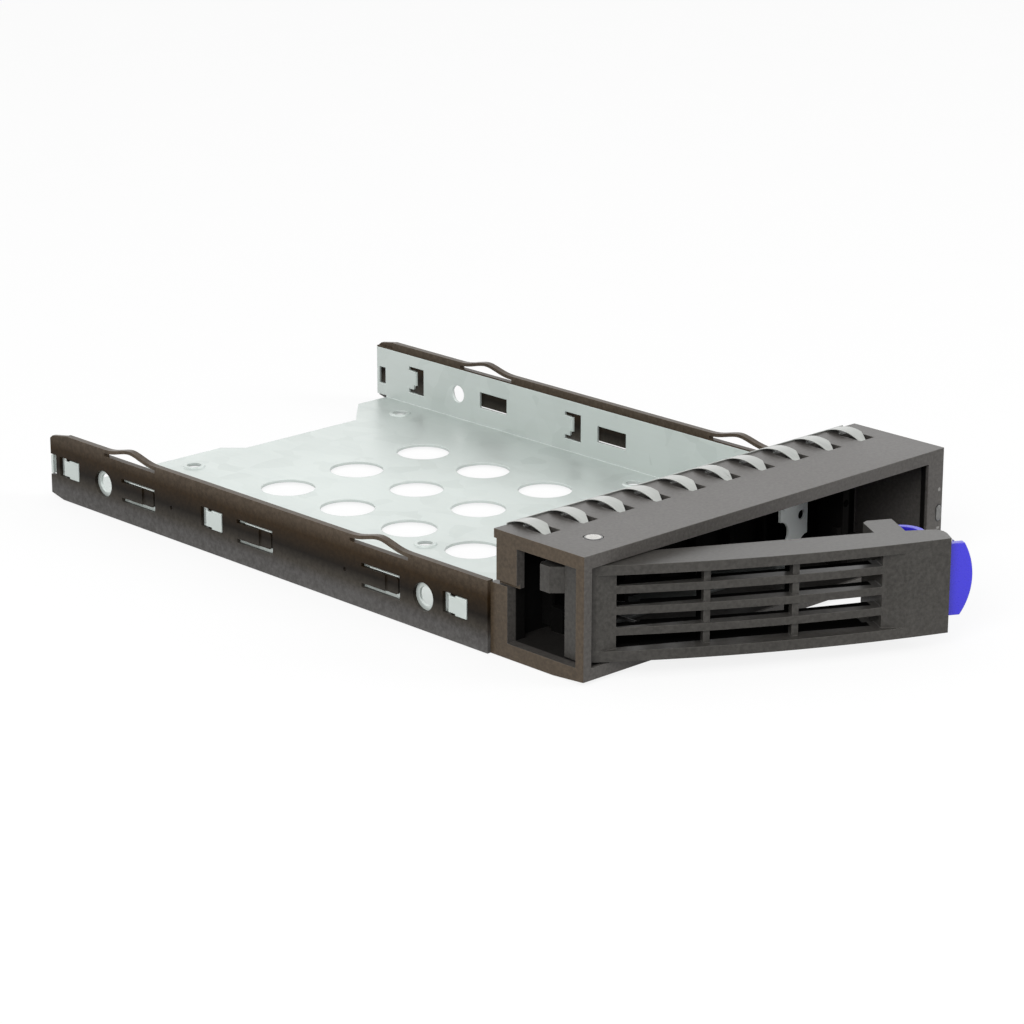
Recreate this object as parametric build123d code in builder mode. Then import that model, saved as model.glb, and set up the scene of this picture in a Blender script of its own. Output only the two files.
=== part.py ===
from build123d import *
import math
import os

os.makedirs("parts", exist_ok=True)

# Hot-swap drive cage: a sheet tray between two plastic rails, with a bezel, an
# ejector lever and its release button at the front.
# X runs across the bezel, Y from the front of the bezel to the back, Z up.
# The origin is mid-width, on the front plane and at the level the rails stand on.

# Overall sizes, in mm
bay_width = 101.86      # inside of the tray, for a 101.6 mm wide drive
sheet = 0.6             # thickness of the tray's sheet
rail_skin = 0.85        # thickness of the rail's web
rail_height = 14.7
floor_under = 0.4       # underside of the tray's floor
bezel_top = 25.2
bezel_depth = 24.2      # depth of the bezel's top plate
tray_front = bezel_depth + 1.2
rail_tail = 18.6        # left rail behind the rear screw hole
longer = 9.8            # how much longer the right rail is

# Clearances
face_gap = 0.02         # between pieces that lie against each other
end_gap = 0.3           # between piece ends
run_gap = 0.05          # radial, for the hinge pin in the lever
slide_gap = 0.1         # beside the release button

# Drive interfaces
side_pitch = 101.6      # spacing of the side screws of a 3.5 inch drive
side_front = 43.3       # front side screw, from the bezel's front
side_above = 5.9        # side screw above the floor
side_hole_r = 2.0
small_x = 61.72         # screw pattern of a 2.5 inch drive
small_y = 76.6
small_side = 7.32       # from the right wall to the pattern
small_ahead = 26.2      # middle of the pattern ahead of the rear side screw
small_hole_r = 1.6

# Openings in the floor
vent_r = 5.95
vent_pitch_x = 19.95
vent_pitch_y = 19.8
vent_x = 6.7            # middle of the vents
vent_ahead = 3.4        # middle of the vents ahead of the middle of the side screws

# Worked out: the side screws and the ends of the rails
front_hole = side_front
back_hole = side_front + side_pitch
mid_hole = (front_hole + back_hole) / 2
left_back = back_hole + rail_tail
right_back = left_back + longer
small_mid = (bay_width / 2 - small_side - small_x / 2, back_hole - small_ahead)
vent_mid = (vent_x, mid_hole - vent_ahead)

# Features along the rails, each group placed from its screw hole
hook_length = 6.4
hook_starts = {
    -1: (back_hole + 8.4, mid_hole + 10.6, front_hole - 12.6),
    1: (back_hole + 8.4, mid_hole + 6.6, front_hole - 12.6),
}
tab_length = 11.3
tab_starts = (back_hole - 17.7, mid_hole - 5.4, front_hole + 6.8)
arch_length = 17.3
arch_starts = (back_hole - 17.9, front_hole + 4.3)
dimple_spots = (back_hole - 23.3, front_hole + 23.1)
rail_hole_r = 2.9
hook_spans = {side: [(y, y + hook_length) for y in hook_starts[side]] for side in (-1, 1)}
tab_spans = [(y, y + tab_length) for y in tab_starts]
arch_spans = [(y, y + arch_length) for y in arch_starts]

# Lever, hinge and button
pin_side = 9.85         # hinge pin from the bezel's left side
pin_y = 7.5
pin_r = 1.5
open_angle = 29.3       # the lever stands this far open
lever_low = 3.35
lever_high = 22.35
lever_wall = 1.2
finger_room = 20.35     # from the lever's end to the bezel's right column
press = 1.8             # travel of the release button
coil_r = 3.6            # lever spring, to the middle of its wire

# Worked out: the widths, from the drive bay outwards
wall_in = bay_width / 2
wall_out = wall_in + sheet
rail_in = wall_out + face_gap
rail_out = rail_in + rail_skin
half_bezel = rail_in    # the bezel is as wide as the rails' inner faces are apart
bezel_width = 2 * half_bezel
floor_top = floor_under + sheet
side_z = floor_top + side_above
rib_low = rail_height - 1.8     # underside of the thick rib along a rail's top
left_column = 2.05
right_column = 4.75
left_wall = half_bezel - left_column
right_wall = half_bezel - right_column
pin_x = -half_bezel + pin_side
spring_x = pin_x + coil_r   # the lever spring's fixed end runs back from here


def side_box(side, x0, x1, y0, y1, z0, z1, mode=Mode.ADD):
    # A box on one side of the cage, X measured outwards from the middle.
    with Locations((side * (x0 + x1) / 2, (y0 + y1) / 2, (z0 + z1) / 2)):
        Box(x1 - x0, y1 - y0, z1 - z0, mode=mode)


def span_box(x0, x1, y0, y1, z0, z1, mode=Mode.ADD):
    side_box(1, x0, x1, y0, y1, z0, z1, mode)


# Tray

lip_back = 3.2          # the right wall is set inwards this far ahead of its rear end
lip_set = 0.1           # stays inside the clearance beside the drive
floor_left = left_back + 0.7
floor_right = right_back - lip_back
floor_step = floor_left - 4.0
notch = ((-4.6, floor_left), (-0.4, floor_step), (32.6, floor_step), (42.0, floor_right))
tongue_low = 3.05       # the tongue lies on the bezel's floor
tongue_front = 14.0
tongue_sides = (20.93 - wall_in, wall_in - 12.93)
flag_sides = (tongue_sides[1] - 17.2, tongue_sides[1] - 9.0)
screw_y = bezel_depth - 5.2
screw_spots = ((tongue_sides[0] + 8.0, screw_y), (tongue_sides[1] - 5.0, screw_y))
screw_r = 1.25
back_tab = 0.85         # how far the wall's rear end is turned outwards

with BuildPart() as tray:
    # Floor with its stepped rear edge
    with BuildSketch(Plane.XY.offset(floor_under)):
        with BuildLine():
            Polyline(
                (-wall_out, tray_front), (wall_out, tray_front), (wall_out, floor_right),
                notch[3], notch[2], notch[1], notch[0], (-wall_out, floor_left), close=True,
            )
        make_face()
    extrude(amount=sheet)
    # Side walls
    for side, back in ((-1, left_back - 0.1), (1, right_back - lip_back)):
        side_box(side, wall_in, wall_out, tray_front, back, floor_under, rib_low - face_gap)
    bends = [
        e for e in tray.edges().filter_by(Axis.Y)
        if abs(abs(e.center().X) - wall_out) < 0.01 and abs(e.center().Z - floor_under) < 0.01
    ]
    fillet(bends, radius=sheet * 0.8)
    # Rear end of the right wall, set inwards, with a window in it
    lip = right_back - lip_back
    with BuildSketch(Plane.XY.offset(floor_top + 0.4)):
        with BuildLine():
            Polyline(
                (wall_in, lip - 0.25), (wall_out, lip - 0.25), (wall_out, lip),
                (wall_out - lip_set, lip + 0.8), (wall_out - lip_set, right_back - 0.1),
                (wall_in - lip_set, right_back - 0.1), (wall_in - lip_set, lip + 0.8),
                (wall_in, lip), close=True,
            )
        make_face()
    extrude(amount=rib_low - face_gap - floor_top - 0.4)
    side_box(1, wall_in - 1, wall_out + 1, lip + 0.2, right_back - 0.9, 4.2, 8.2, Mode.SUBTRACT)
    # Rear end of the left wall: a tab turned outwards into the rail's notch
    side_box(-1, wall_in - 1, wall_out + 1, left_back - 0.9, left_back + 1, 9.4, rib_low,
             Mode.SUBTRACT)
    side_box(-1, wall_in - 1, wall_out + 1, left_back - 0.9, left_back + 1, floor_top + 0.4, 5.3,
             Mode.SUBTRACT)
    side_box(-1, wall_out, wall_out + back_tab, left_back - 0.1 - sheet, left_back - 0.1, 5.3, 9.4)
    # Riser and tongue that carry the bezel
    span_box(tongue_sides[0], tongue_sides[1], tray_front, tray_front + sheet,
             floor_under, tongue_low + sheet)
    span_box(tongue_sides[0], tongue_sides[1], tongue_front, tray_front + sheet,
             tongue_low, tongue_low + sheet)
    # Upright tab seen through the bezel's opening, its top bent forwards
    span_box(*flag_sides, 16.6, 16.6 + sheet, tongue_low, 15.4)
    span_box(flag_sides[0], flag_sides[0] + 4.8, 15.6, 16.6 + sheet, 15.4 - sheet, 15.4)
    with BuildSketch(Plane.XZ.offset(-18.0)):
        with Locations((flag_sides[1], 5.6), (flag_sides[0], 9.4)):
            Circle(2.6)
        with Locations((flag_sides[1] - 1.8, 12.4)):
            Circle(1.0)
    extrude(amount=3.0, mode=Mode.SUBTRACT)
    # Vents
    with BuildSketch(Plane.XY.offset(floor_under)):
        with Locations(vent_mid):
            with GridLocations(vent_pitch_x, vent_pitch_y, 3, 5):
                Circle(vent_r)
    extrude(amount=sheet, mode=Mode.SUBTRACT)
    # Dished holes for a 2.5 inch drive
    with BuildSketch(Plane.XY.offset(floor_top)):
        with Locations(small_mid):
            with GridLocations(small_x, small_y, 2, 2):
                Circle(2.5)
    extrude(amount=0.3, taper=30)
    with Locations((small_mid[0], small_mid[1], floor_under)):
        with GridLocations(small_x, small_y, 2, 2):
            Cylinder(small_hole_r, 8, mode=Mode.SUBTRACT)
            Cone(small_hole_r + 1.0, small_hole_r, 1.0, mode=Mode.SUBTRACT)
    # Tapped holes in the tongue
    with Locations(*[(x, y, tongue_low) for x, y in screw_spots]):
        Cylinder(screw_r + face_gap, 4, mode=Mode.SUBTRACT)
    # Drive screw holes and windows behind the rails' flexing tabs
    for side in (-1, 1):
        with Locations(*[
            Location((side * wall_in, y, side_z), (0, 90, 0))
            for y in (front_hole, back_hole)
        ]):
            Cylinder(side_hole_r, 4, mode=Mode.SUBTRACT)
        for y0, y1 in tab_spans:
            side_box(side, wall_in - 1, wall_out + 0.1, y0 + 1.3, y1 - 1.0, 5.1, 8.85,
                     Mode.SUBTRACT)
    # Hooks: each is lanced from the wall and turned out through the rail's window
    for side in (-1, 1):
        for y0, y1 in hook_spans[side]:
            side_box(side, wall_in - 1, wall_out + 0.1, y1 - 2.85, y1 + 2.3, 3.85, 10.15,
                     Mode.SUBTRACT)
            side_box(side, wall_in, wall_out, y1 + 0.6, y1 + 2.3, 4.75, 9.25)
            with BuildSketch(Plane.XY.offset(5.8)):
                with BuildLine():
                    Polyline(
                        (side * wall_in, y1 + 0.7), (side * wall_out, y1 + 0.7),
                        (side * (rail_in + 0.2), y1 - 0.1), (side * (rail_out + 0.2), y1 - 1.4),
                        (side * (rail_out + 0.2), y0 + 0.1), (side * (rail_out - 0.32), y0 + 0.1),
                        (side * (rail_out - 0.32), y1 - 1.7), (side * (wall_out + 0.1), y1 - 0.5),
                        (side * (wall_in + 0.1), y1 - 0.05), (side * wall_in, y1 + 0.3),
                        close=True,
                    )
                make_face()
            extrude(amount=3.3)
            side_box(side, rail_out - 0.32, rail_out + 0.2, y0 + 0.1, y0 + 3.2, 5.45, 9.45)
tray.part.label = "tray"
export_step(tray.part, "parts/tray.step")


# Rails

def make_rail(side, back, name):
    with BuildPart() as rail:
        web_plane = Plane.YZ.offset(side * rail_in)
        # Web with tapered rear end
        with BuildSketch(web_plane):
            with BuildLine():
                Polyline(
                    (tray_front - end_gap, 0), (back - 4.2, 0), (back, 0.9),
                    (back, rail_height - 1.5), (back - 0.9, rail_height - 0.8),
                    (back - 5.6, rail_height), (tray_front - end_gap, rail_height), close=True,
                )
            make_face()
        extrude(amount=side * rail_skin)
        # Thick rib along the top, over the edge of the tray's wall
        side_box(side, wall_in + face_gap, rail_in, tray_front - end_gap, back - 5.6,
                 rib_low, rail_height)
        side_box(side, wall_in + face_gap, rail_in, back - 5.6, back, rib_low, rail_height - 1.5)
        # Arched springs on top
        for y0, y1 in arch_spans:
            mid = (y0 + y1) / 2
            side_box(side, wall_in - 1, rail_out + 1, y0, y1, rib_low + 0.3, rail_height + 2,
                     Mode.SUBTRACT)
            with BuildSketch(Plane.YZ.offset(side * (wall_in + face_gap))):
                with BuildLine():
                    Spline((y0, rail_height), (mid, rail_height + 1.4), (y1, rail_height),
                           tangents=((1, 0), (1, 0)))
                    Line((y1, rail_height), (y1, rail_height - 0.8))
                    Spline((y1, rail_height - 0.8), (mid, rail_height + 0.65),
                           (y0, rail_height - 0.8), tangents=((-1, 0), (-1, 0)))
                    Line((y0, rail_height - 0.8), (y0, rail_height))
                make_face()
            extrude(amount=side * (rail_out - wall_in - face_gap))
        # Flexing tabs: a slot round three sides, a thinner free end
        for y0, y1 in tab_spans:
            with BuildSketch(web_plane):
                with Locations(((y0 + y1) / 2, 6.95)):
                    Rectangle(y1 - y0, 5.1)
                with Locations(((y0 + y1) / 2 + 0.4, 7.0)):
                    RectangleRounded(y1 - y0 - 0.79, 3.4, 0.6, mode=Mode.SUBTRACT)
                with Locations((y1 - 0.4, 7.0)):
                    Rectangle(0.81, 3.4, mode=Mode.SUBTRACT)
            extrude(amount=side * rail_skin, mode=Mode.SUBTRACT)
            side_box(side, rail_out - 0.3, rail_out + 0.1, y0 - 0.1, y0 + 4.3, 5.1, 8.8,
                     Mode.SUBTRACT)
        # Windows for the hooks, with a shallow seat for each hook's flat end
        for y0, y1 in hook_spans[side]:
            side_box(side, rail_in - 2, rail_out + 1, y0 + 3.3, y1 + 0.6, 5.3, 9.6, Mode.SUBTRACT)
            side_box(side, rail_out - 0.34, rail_out + 1, y0, y0 + 3.4, 5.3, 9.6, Mode.SUBTRACT)
            # Lug that stands in the wall's slot and holds the rail lengthwise
            side_box(side, wall_in + 0.05, rail_in + 0.01, y1 - 2.7, y1 - 0.75, 4.0, 10.0)
        # Notch for the tray's rear end
        if side < 0:
            side_box(side, rail_in - 2, rail_out + 1, back - 1.9, back + 1, 5.05, 9.65,
                     Mode.SUBTRACT)
        # Screw holes and dimples
        with Locations(*[
            Location((side * rail_in, y, side_z), (0, 90, 0)) for y in (front_hole, back_hole)
        ]):
            Cylinder(rail_hole_r, 4, mode=Mode.SUBTRACT)
        with Locations(*[Location((side * rail_out, y, 6.9), (0, 90, 0)) for y in dimple_spots]):
            Cylinder(0.45, 0.8, mode=Mode.SUBTRACT)
    rail.part.label = name
    export_step(rail.part, "parts/" + name + ".step")


make_rail(-1, left_back, "left_rail")
make_rail(1, right_back, "right_rail")


# Bezel

opening_low = 3.0
opening_high = 22.6
right_skin = 2.95       # thin part of the right side, behind its column
side_block = 4.65       # width of the blocks at the rear corners
post_x = right_wall - 18.3
post_y = 6.0
bezel_back = bezel_depth - 1.9
lip_y = bezel_depth - 0.7       # the top plate's rear lip starts here
lip_under = bezel_top - 1.8
past_back = tray_front + 1.6    # behind everything of the bezel
finger_pitch = 10.0
finger_count = int((bezel_width - 2) // finger_pitch)
finger_spots = [finger_pitch * (i - (finger_count - 1) / 2) for i in range(finger_count)]
finger_left = -2.2      # left edge of a finger, from its spot
finger_wide = 3.3
finger_front = bezel_depth - 9.0
pin_head_r = 1.95
lens_spot = (half_bezel - 1.2, 11.6)
clip_depth = 1.5
window_back = bezel_back - 4.3
block_top = rail_height - 0.3
rib_pitch = 10.0
rib_count = int((post_x - pin_x - 8.0) // rib_pitch) + 1
rib_spots = [pin_x + 1.7 + rib_pitch * i for i in range(rib_count)]
block_y = bezel_back - 1.75      # the lower left block stands back to here
keeper_low = 6.9
keeper_high = 12.1

with BuildPart() as bezel:
    # Side outline of the housing, drawn once and pulled across
    with BuildSketch(Plane.YZ.offset(-half_bezel)):
        with BuildLine():
            Polyline(
                (0, 0.6), (8, 0), (tray_front - end_gap, 0), (tray_front - end_gap, block_top),
                (lip_y, block_top), (lip_y, lip_under), (bezel_depth, lip_under),
                (bezel_depth, bezel_top),
                (0, bezel_top), close=True,
            )
        make_face()
    extrude(amount=bezel_width)
    # The hollow, open to the front
    span_box(-left_wall, right_wall, -1, 2.0, opening_low, opening_high, Mode.SUBTRACT)
    span_box(-left_wall, half_bezel - right_skin, 1.9, bezel_back, opening_low, opening_high,
             Mode.SUBTRACT)
    # Curved wall of the finger pocket, with its post in front
    with BuildSketch(Plane.XY.offset(opening_low)):
        with BuildLine():
            pocket_out = (right_wall - 4.8, bezel_back - 1.5)
            pocket_in = (right_wall - 5.8, bezel_back)
            side_x = half_bezel - right_skin
            ThreePointArc((post_x + 0.9, post_y), (right_wall - 13.4, 15.0), pocket_out)
            Polyline(pocket_out, (side_x, pocket_out[1]), (side_x, bezel_back), pocket_in)
            ThreePointArc(pocket_in, (right_wall - 15.2, 16.2), (post_x - 0.9, post_y))
            Line((post_x - 0.9, post_y), (post_x + 0.9, post_y))
        make_face()
    extrude(amount=opening_high - opening_low)
    # Keeper that the button's nose catches behind
    span_box(post_x - 2.3, post_x - 0.3, 6.2, 7.7, keeper_low, keeper_high)
    with Locations(Location((post_x, post_y, 16.9), (90, 0, 0))):
        Cylinder(0.8, 2.4, mode=Mode.SUBTRACT)
    # Stop for the fixed end of the lever's spring
    span_box(pin_x + 1.3, spring_x - 0.37, bezel_back - 5.3, bezel_back - 2.3, opening_low, 8.0)
    # Ribs behind the grille, and air windows high between them
    for x in rib_spots:
        span_box(x - 0.45, x + 0.45, bezel_back - 2.4, bezel_back + 0.1, tongue_low + 0.9, opening_high)
    for x in rib_spots[1:-1]:
        span_box(x + 1.1, x + rib_pitch - 1.1, bezel_back - 0.1, past_back,
                 13.6, 20.4, Mode.SUBTRACT)
    # Slot for the tray's tongue, and the rear band cut back between the side blocks
    span_box(tongue_sides[0] - 0.4, tongue_sides[1] + 0.4, tongue_front - end_gap, past_back,
             opening_low, tongue_low + sheet + 0.1, Mode.SUBTRACT)
    block_in = half_bezel - side_block
    span_box(-block_in, block_in, lip_y, past_back, opening_low, block_top + 1, Mode.SUBTRACT)
    # Window in the left side for the claw; the lower block stands further back
    span_box(-half_bezel - 1, -left_wall + 0.1, 2.1, window_back, opening_low, 22.5, Mode.SUBTRACT)
    span_box(-half_bezel - 1, -left_wall + 0.1, window_back - 0.1, block_y, opening_low, block_top,
             Mode.SUBTRACT)
    span_box(-left_wall - 0.1, -block_in, block_y, bezel_back + 0.1, opening_low, block_top)
    span_box(-half_bezel - 1, -half_bezel + 0.9, window_back - 0.1, past_back, block_top,
             block_top + 0.8, Mode.SUBTRACT)
    # Slots for the grounding fingers
    for x in finger_spots:
        span_box(x + finger_left - 0.1, x + finger_left + finger_wide + 0.75, finger_front - 0.5,
                 finger_front + 5.3, bezel_top - 3.5, bezel_top + 1, Mode.SUBTRACT)
    # Hinge pin hole, with a seat for the head and a pocket for the clip
    with Locations((pin_x, pin_y, 12)):
        Cylinder(pin_r + face_gap, 40, mode=Mode.SUBTRACT)
    with Locations((pin_x, pin_y, bezel_top - 0.4)):
        Cylinder(pin_head_r + 0.05, 0.8, mode=Mode.SUBTRACT)
    with Locations((pin_x, pin_y, clip_depth / 2)):
        Cylinder(3.6, clip_depth, mode=Mode.SUBTRACT)
    # Lens hole through the right column
    with BuildSketch(Plane.XZ):
        with Locations(lens_spot):
            SlotOverall(3.4, 1.6, rotation=90)
    extrude(amount=-30, mode=Mode.SUBTRACT)
    # Screw holes from below
    with Locations(*[Location((x, y, 0), (180, 0, 0)) for x, y in screw_spots]):
        CounterSinkHole(screw_r + 0.15, 2.5, depth=6, counter_sink_angle=90)
    outer = [
        e for e in bezel.edges().filter_by(Axis.Z)
        if e.center().Y < 0.1 and abs(abs(e.center().X) - half_bezel) < 0.1
    ]
    fillet(outer, radius=0.25)
bezel.part.label = "bezel"
export_step(bezel.part, "parts/bezel.step")


# Grounding strip with ten arched fingers

strip = 0.2
finger_high = 26.25
strip_y = bezel_depth + 0.05
finger_mid = bezel_depth - 5.0   # highest point of a finger

with BuildPart() as emi_gasket:
    # Upright strip behind the bezel's top, hooked under its lip
    strip_end = finger_spots[-1] + 3.0
    span_box(-strip_end, strip_end, strip_y, strip_y + strip, lip_under - 0.05 - strip,
             bezel_top + 0.3)
    span_box(-strip_end, strip_end, lip_y + 0.05, strip_y + strip, lip_under - 0.05 - strip,
             lip_under - 0.05)
    for x in finger_spots:
        left = x + finger_left
        right = left + finger_wide
        with BuildSketch(Plane.YZ.offset(left)):
            with BuildLine():
                ThreePointArc((strip_y + strip, bezel_top + 0.2), (finger_mid, finger_high),
                              (finger_front, bezel_top - 0.2))
                Line((finger_front, bezel_top - 0.2), (finger_front - 0.4, bezel_top - 1.6))
                Line((finger_front - 0.4, bezel_top - 1.6), (finger_front - 0.2, bezel_top - 1.7))
                Line((finger_front - 0.2, bezel_top - 1.7), (finger_front + 0.2, bezel_top - 0.3))
                ThreePointArc((finger_front + 0.2, bezel_top - 0.3),
                              (finger_mid, finger_high - strip), (strip_y, bezel_top + 0.2))
                Line((strip_y, bezel_top + 0.2), (strip_y + strip, bezel_top + 0.2))
            make_face()
        extrude(amount=finger_wide)
        # The tip is cut slantwise on its right
        with BuildSketch(Plane.XY.offset(bezel_top - 3)):
            with BuildLine():
                Polyline(
                    (right + 0.1, finger_front + 2.6), (right + 0.1, finger_front - 2),
                    (right - 1.5, finger_front - 2), (right - 1.5, finger_front - 0.1),
                    close=True,
                )
            make_face()
        extrude(amount=5, mode=Mode.SUBTRACT)
emi_gasket.part.label = "emi_gasket"
export_step(emi_gasket.part, "parts/emi_gasket.step")


# Lever, drawn in its own frame: u along the lever, v towards the back when closed

turn = math.radians(open_angle)
lever_plane = Plane(
    origin=(pin_x, pin_y, 0), x_dir=(math.cos(turn), -math.sin(turn), 0), z_dir=(0, 0, 1)
)
end_u = right_wall - finger_room - pin_x   # length from the pin to the right-hand end
bow_u = end_u / 2       # middle of the bowed face
bow_v = -10.9
bow_rise = 2.17         # how far the bowed face falls back towards its ends
face_r = end_u ** 2 / (8 * bow_rise)
end_v = -2.7
back_v = -1.9
floor_v = 1.8           # the lever's floor reaches further back than its top
end_skin = 1.55         # front wall ahead of the button
box_u = (end_u - 13.05, end_u - 6.95)    # latch box behind the right-hand end
box_v = 5.4
grille_low = 5.45
grille_high = 20.4
slat = 1.55
recess = 1.4
slat_depth = 4.0
spring_slat = 2.8       # the slats are shallower beside the hinge, clear of the spring
spring_u = 8.0
grille_end = end_u - 13.65


def face_v(u, inward=0.0):
    # Height of the bowed face above the v axis, moved inwards by a depth.
    return bow_v + inward + (u - bow_u) ** 2 / (2 * face_r)


def bow_arc(u0, u1, inward=0.0):
    mid = (u0 + u1) / 2
    return ThreePointArc(
        (u0, face_v(u0, inward)), (mid, face_v(mid, inward)), (u1, face_v(u1, inward))
    )


def lever_box(u0, u1, v0, v1, z0, z1, mode=Mode.ADD):
    middle = Location(((u0 + u1) / 2, (v0 + v1) / 2, (z0 + z1) / 2))
    with Locations(lever_plane.location * middle):
        Box(u1 - u0, v1 - v0, z1 - z0, mode=mode)


nose_u = -4.4
slot_rows = 4
slot_high = (grille_high - grille_low - (slot_rows - 1) * slat) / slot_rows
hub_r = 5.2
claw_r = 10.42          # reach of the claw, past the bezel's side when the lever is closed
past_end = end_u + 4
claw_low = 15.7
claw_high = 20.9
button_low = 6.2
button_high = 20.4
button_mid = (button_low + button_high) / 2
shell = 1.2

with BuildPart() as lever:
    # Outline of the lever seen from above
    with BuildSketch(lever_plane.offset(lever_low)):
        with BuildLine():
            bow_arc(nose_u, end_u)
            Polyline((end_u, face_v(end_u)), (end_u + 0.3, -5.6), (end_u + 0.1, -4.2),
                     (end_u - 0.8, -3.0), (end_u - 2.2, end_v), (box_u[1], back_v - 0.4),
                     (box_u[1], box_v), (box_u[0] + 1.0, box_v), (box_u[0], box_v - 1.0),
                     (box_u[0] - 0.1, back_v), (0, back_v), (-6.5, -3.7))
            Line((-6.5, -3.7), (nose_u, face_v(nose_u)))
        make_face()
        Circle(hub_r)
    extrude(amount=lever_high - lever_low)
    lever_box(0, box_u[0] + 0.2, back_v - 0.5, floor_v, lever_low, lever_low + lever_wall)
    # The inside, open at the back
    with BuildSketch(lever_plane.offset(lever_low + lever_wall)):
        with BuildLine():
            bow_arc(spring_u, box_u[0] - 0.6, recess + slat_depth)
            Polyline((box_u[0] - 0.6, face_v(box_u[0] - 0.6, recess + slat_depth)),
                     (box_u[0] - 0.6, 12), (-12, 12), (-12, -2.6), (-4.6, -3.0),
                     (2.4, face_v(2.4, recess + spring_slat)),
                     (spring_u, face_v(spring_u, recess + spring_slat)),
                     (spring_u, face_v(spring_u, recess + slat_depth)))
        make_face()
    extrude(amount=lever_high - lever_low - 2 * lever_wall, mode=Mode.SUBTRACT)
    # Room for the button, open at the end and at the back
    with BuildSketch(lever_plane.offset(lever_low + lever_wall)):
        with BuildLine():
            bow_arc(box_u[1] - 4.9, past_end, end_skin)
            Line((past_end, face_v(past_end, end_skin)), (past_end, 12))
            Line((past_end, 12), (box_u[1], 12))
            Line((box_u[1], 12), (box_u[1], -1.0))
            Line((box_u[1], -1.0), (box_u[1] - 4.9, -1.0))
            Line((box_u[1] - 4.9, -1.0), (box_u[1] - 4.9, face_v(box_u[1] - 4.9, end_skin)))
        make_face()
    extrude(amount=lever_high - lever_low - 2 * lever_wall, mode=Mode.SUBTRACT)
    # Recess of the grille, with bevelled ends
    with BuildSketch(lever_plane.offset(grille_low)):
        with BuildLine():
            Polyline((-1.6, -20), (-1.6, face_v(-1.6)), (2.3, face_v(2.3, recess)))
            bow_arc(2.3, grille_end + 0.4, recess)
            Polyline((grille_end + 0.4, face_v(grille_end + 0.4, recess)),
                     (grille_end + 4.5, face_v(grille_end + 4.5)), (grille_end + 4.5, -20),
                     (-1.6, -20))
        make_face()
    extrude(amount=grille_high - grille_low, mode=Mode.SUBTRACT)
    # Slots between the slats
    for row in range(slot_rows):
        low = grille_low + row * (slot_high + slat)
        with BuildSketch(lever_plane.offset(low)):
            with BuildLine():
                bow_arc(2.4, grille_end, recess - 1)
                Line((grille_end, face_v(grille_end, recess - 1)), (grille_end, -3.0))
                Line((grille_end, -3.0), (2.4, -3.0))
                Line((2.4, -3.0), (2.4, face_v(2.4, recess - 1)))
            make_face()
        extrude(amount=slot_high, mode=Mode.SUBTRACT)
    # Upright ribs behind the slats
    for u in (2.4 + (grille_end - 2.4) / 3, 2.4 + (grille_end - 2.4) * 2 / 3):
        lever_box(u - 0.65, u + 0.65, face_v(u, recess + 0.5), face_v(u, recess + 5.2),
                  lever_low + 0.5, lever_high - 0.5)
    # Tube round the hinge pin
    with BuildSketch(lever_plane.offset(lever_low)):
        Circle(3.0)
    extrude(amount=lever_high - lever_low)
    # Claw that grips the chassis through the side window, and its web
    with BuildSketch(lever_plane.offset(claw_low)):
        with BuildLine():
            Polyline((-1.0, 2.8), (-6.0, 2.3), (-claw_r + 0.7, 1.0), (-claw_r, -0.43),
                     (-claw_r + 1.18, -2.55), (-6.0, -3.4), (-1.0, -2.8), close=True)
        make_face()
    extrude(amount=claw_high - claw_low)
    # Floor under the thumb tab and the stop that holds the button in
    lever_box(end_u - 0.9, end_u, -7.1, -4.2, lever_low + 0.4, button_low - 0.3)
    lever_box(end_u - 0.9, end_u, -5.55, -4.4, lever_low + 0.4, lever_high - 0.4)
    # Rod for the button's spring
    with BuildSketch(Plane(origin=lever_plane.from_local_coords((box_u[1] - 0.4, 1.4, 13.0)),
                           x_dir=(0, 0, 1), z_dir=lever_plane.x_dir)):
        Circle(0.75)
    extrude(amount=3.0)
    # Latch box is hollow from the left
    lever_box(box_u[0] + 1.2, box_u[1] - 1.2, -4.0, box_v - 1.2, lever_low - 1, 18.0, Mode.SUBTRACT)
    # Pin hole
    with BuildSketch(lever_plane.offset(lever_low - 1)):
        Circle(pin_r + run_gap)
    extrude(amount=30, mode=Mode.SUBTRACT)
lever.part.label = "lever"
export_step(lever.part, "parts/lever.step")


# Release button: thumb tab, neck and hollow curved back

neck_u = end_u - 2.25
thumb_v = face_v(end_u + 0.4, end_skin) + slide_gap
nose_low = keeper_low + 0.5

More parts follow.
